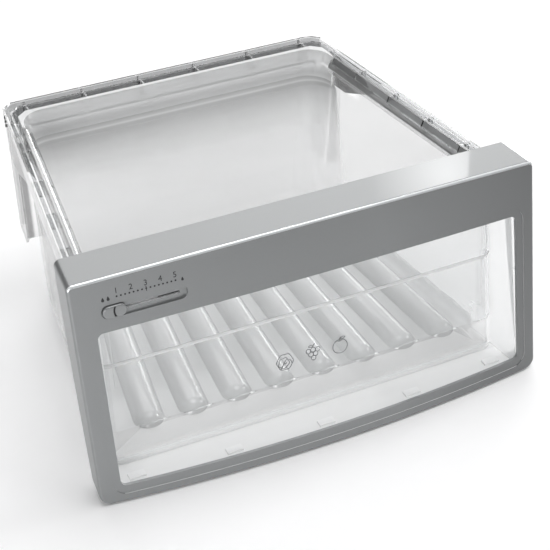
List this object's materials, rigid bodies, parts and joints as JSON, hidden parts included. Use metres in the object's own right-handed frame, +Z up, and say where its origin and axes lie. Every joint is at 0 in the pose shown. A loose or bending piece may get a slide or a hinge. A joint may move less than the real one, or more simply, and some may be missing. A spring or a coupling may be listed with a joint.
{
  "type": "fridge crisper drawer",
  "caption": "Clear refrigerator crisper drawer with a fluted floor and grooved rim, fronted by a silver frame with a large window and a sliding humidity control.",
  "frame": {"origin": "middle of the overall width and depth, on the plane the drawer stands on", "axes": "+X to the right seen from the front, +Y to the rear, +Z up"},
  "size_m": [0.3996, 0.3578, 0.192],
  "materials": {
    "clear_plastic": "clear polished moulding",
    "silver_paint": "fine satin silver paint",
    "knob_plastic": "fine satin silver paint",
    "shutter_plastic": "plain moulded grey"
  },
  "bodies": {
    "drawer": {"crisper_bin": "clear_plastic", "front_frame": "silver_paint"},
    "slider": {"humidity_knob": "knob_plastic", "vent_shutter": "shutter_plastic"}
  },
  "joints": [
    {"name": "humidity_slide", "type": "slide", "parent": "drawer", "child": "slider", "axis": [1, 0, 0], "range_m": [0, 0.048]}
  ]
}
